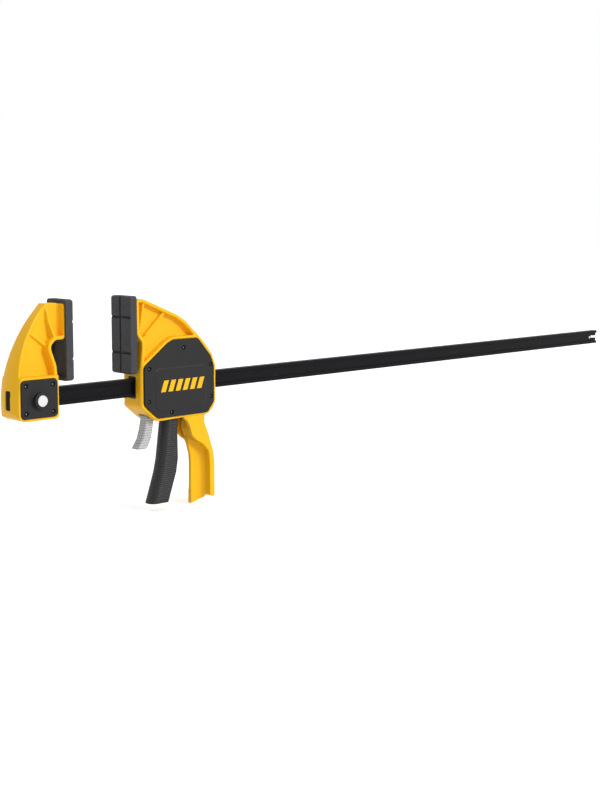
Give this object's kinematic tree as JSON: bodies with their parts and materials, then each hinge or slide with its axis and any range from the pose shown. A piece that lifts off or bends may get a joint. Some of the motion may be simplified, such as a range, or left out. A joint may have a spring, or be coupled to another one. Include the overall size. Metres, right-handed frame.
{
  "type": "quick release bar clamp",
  "caption": "One-handed bar clamp: a pinned fixed jaw and a squeeze-trigger head that slides along an I-section bar, with a release lever, soft pads and side covers.",
  "frame": {"origin": "on the bar's centre line, at the clamping face of the fixed pad", "axes": "+X along the bar from the fixed jaw towards the moving head and the bar's far end, +Z from the bar to the tips of the jaws, -Y the side with the quick release button"},
  "size_m": [1.1429, 0.0468, 0.2586],
  "materials": {
    "bar_coating": "black oxide with a thin coat, satin",
    "jaw_plastic": "yellow glass-filled plastic, satin",
    "cover_plastic": "black plastic, fine grain",
    "pad_rubber": "dark soft rubber, matte",
    "trigger_plastic": "black plastic, satin",
    "guide_plastic": "black low-friction plastic",
    "lever_alloy": "cast, lightly blasted",
    "bright_steel": "turned and polished",
    "plate_steel": "hardened, oiled",
    "spring_steel": "drawn wire",
    "screw_steel": "blackened steel"
  },
  "bodies": {
    "bar_assembly": {"bar": "bar_coating", "stop_pin": "bright_steel", "fixed_jaw": "jaw_plastic", "fixed_jaw_front_cover": "cover_plastic", "fixed_jaw_rear_cover": "cover_plastic", "fixed_jaw_screws": "screw_steel", "fixed_pad": "pad_rubber", "button_spring": "spring_steel"},
    "button": {"quick_release_button": "bright_steel"},
    "head": {"head_body": "jaw_plastic", "head_front_cover": "cover_plastic", "head_rear_cover": "cover_plastic", "head_cover_screws": "screw_steel", "moving_pad": "pad_rubber", "front_bar_guide": "guide_plastic", "rear_bar_guide": "guide_plastic", "trigger_pivot_pin": "bright_steel", "release_lever_pin": "bright_steel", "brake_spring": "spring_steel", "drive_spring": "spring_steel"},
    "trigger": {"trigger": "trigger_plastic", "drive_pin": "bright_steel"},
    "drive_plates": {"drive_plate_1": "plate_steel", "drive_plate_2": "plate_steel", "drive_plate_3": "plate_steel"},
    "brake": {"brake_plate": "plate_steel"},
    "release": {"release_lever": "lever_alloy"}
  },
  "joints": [
    {"name": "head_slide", "type": "slide", "parent": "bar_assembly", "child": "head", "axis": [1, 0, 0], "range_m": [-0.0765, 0.8365]},
    {"name": "trigger_pivot", "type": "hinge", "parent": "head", "child": "trigger", "pos_m": [0.135, 0, 0.024], "axis": [0, -1, 0], "range_deg": [0, 16], "stiffness_Nm_per_rad": 0.5, "springref_deg": -20.05},
    {"name": "drive_plates_slide", "type": "slide", "parent": "head", "child": "drive_plates", "axis": [1, 0, 0], "range_m": [0, 0.013], "deforming": ["drive_spring"]},
    {"name": "release_pivot", "type": "hinge", "parent": "head", "child": "release", "pos_m": [0.106, 0, -0.024], "axis": [0, -1, 0], "range_deg": [0, 10], "stiffness_Nm_per_rad": 0.2, "springref_deg": -20.05},
    {"name": "brake_pivot", "type": "hinge", "parent": "head", "child": "brake", "pos_m": [0.1142, 0, 0.024], "axis": [0, -1, 0], "range_deg": [0, 1.4], "deforming": ["brake_spring"]},
    {"name": "button_press", "type": "slide", "parent": "bar_assembly", "child": "button", "axis": [0, 1, 0], "range_m": [0, 0.005], "stiffness_N_per_m": 400, "springref_m": -0.01, "deforming": ["button_spring"]}
  ],
  "couplings": [
    {"joint": "drive_plates_slide", "follows": "trigger_pivot", "m_per_rad": 0.046},
    {"joint": "brake_pivot", "follows": "release_pivot", "ratio": 0.135}
  ]
}
